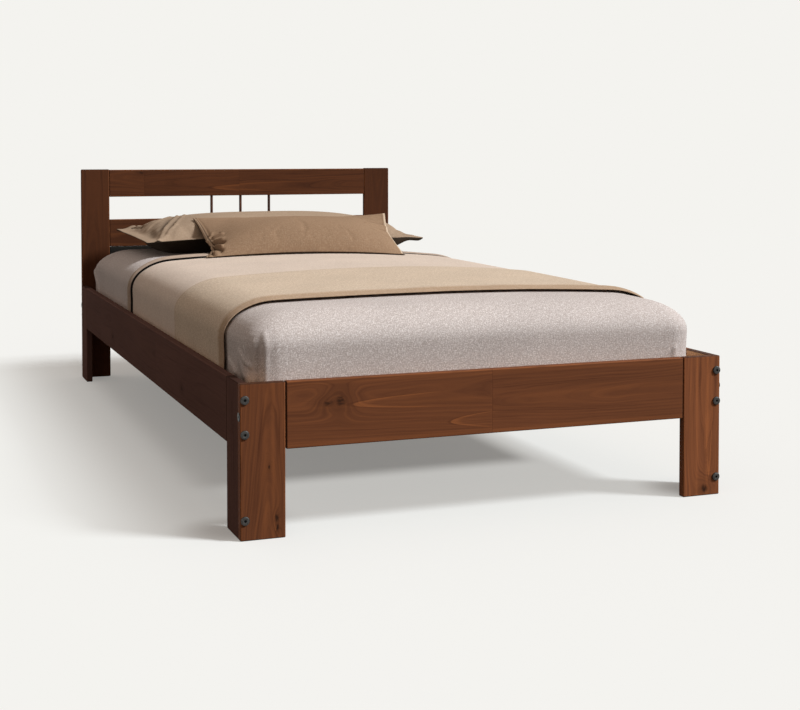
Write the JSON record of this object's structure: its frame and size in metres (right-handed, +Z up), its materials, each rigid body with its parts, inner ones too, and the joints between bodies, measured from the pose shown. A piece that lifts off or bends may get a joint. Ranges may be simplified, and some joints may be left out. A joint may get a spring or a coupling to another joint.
{
  "type": "wooden bed",
  "caption": "Low bed of stained pine boards on L-shaped legs, with a slatted base, a slim headboard with rod spindles, a mattress, cloth layers and pillows.",
  "frame": {"origin": "centre of the bed's outline on the floor", "axes": "+X across the bed to the right seen from the foot, +Y along the bed from the foot to the head, +Z up"},
  "size_m": [1.0604, 2.082, 0.676],
  "materials": {
    "stained_pine": "reddish brown stain on knotty pine, satin",
    "spindle_stain": "pine in a very dark brown stain, satin",
    "raw_pine": "planed and unfinished pine with small knots",
    "bolt_steel": "dark gunmetal, satin",
    "barrel_zinc": "zinc plated, satin",
    "dowel_wood": "fluted beech, unfinished",
    "screw_zinc": "yellow zinc plated",
    "mattress_ticking": "matt woven ticking",
    "sheet_fabric": "heathered grey-mauve knit, matt",
    "coverlet_fabric": "fine light tan weave, matt",
    "throw_fabric": "dark tan weave, matt with a soft sheen",
    "pillow_fabric": "light tan cotton, matt",
    "cushion_fabric": "smooth tan cotton, matt"
  },
  "bodies": {
    "root": {"foot_leg_left_front_board": "stained_pine", "foot_leg_right_front_board": "stained_pine", "foot_leg_left_side_board": "stained_pine", "foot_leg_right_side_board": "stained_pine", "head_post_left": "stained_pine", "head_post_right": "stained_pine", "head_leg_left_side_board": "stained_pine", "head_leg_right_side_board": "stained_pine", "side_rail_left": "stained_pine", "side_rail_right": "stained_pine", "foot_rail": "stained_pine", "head_cross_rail": "stained_pine", "headboard_top_rail": "stained_pine", "headboard_lower_rail": "stained_pine", "headboard_bottom_rail": "spindle_stain", "spindle_left": "spindle_stain", "spindle_middle": "spindle_stain", "spindle_right": "spindle_stain", "ledger_left": "raw_pine", "ledger_right": "raw_pine", "slat_1": "raw_pine", "slat_2": "raw_pine", "slat_3": "raw_pine", "slat_4": "raw_pine", "slat_5": "raw_pine", "slat_6": "raw_pine", "slat_7": "raw_pine", "slat_8": "raw_pine", "slat_9": "raw_pine", "slat_10": "raw_pine", "slat_11": "raw_pine", "slat_12": "raw_pine", "slat_13": "raw_pine", "slat_14": "raw_pine", "leg_to_side_rail_bolts": "bolt_steel", "leg_to_end_rail_bolts": "bolt_steel", "low_leg_bolts": "bolt_steel", "side_rail_barrel_nuts": "barrel_zinc", "end_rail_barrel_nuts": "barrel_zinc", "leg_barrel_nuts": "barrel_zinc", "leg_dowels": "dowel_wood", "side_rail_dowels": "dowel_wood", "end_rail_dowels": "dowel_wood", "headboard_dowels": "dowel_wood", "slat_screws": "screw_zinc", "ledger_screws": "screw_zinc", "mattress": "mattress_ticking", "fitted_sheet": "sheet_fabric", "coverlet": "coverlet_fabric", "throw": "throw_fabric", "rear_pillow": "pillow_fabric", "front_cushion": "cushion_fabric"}
  },
  "joints": []
}
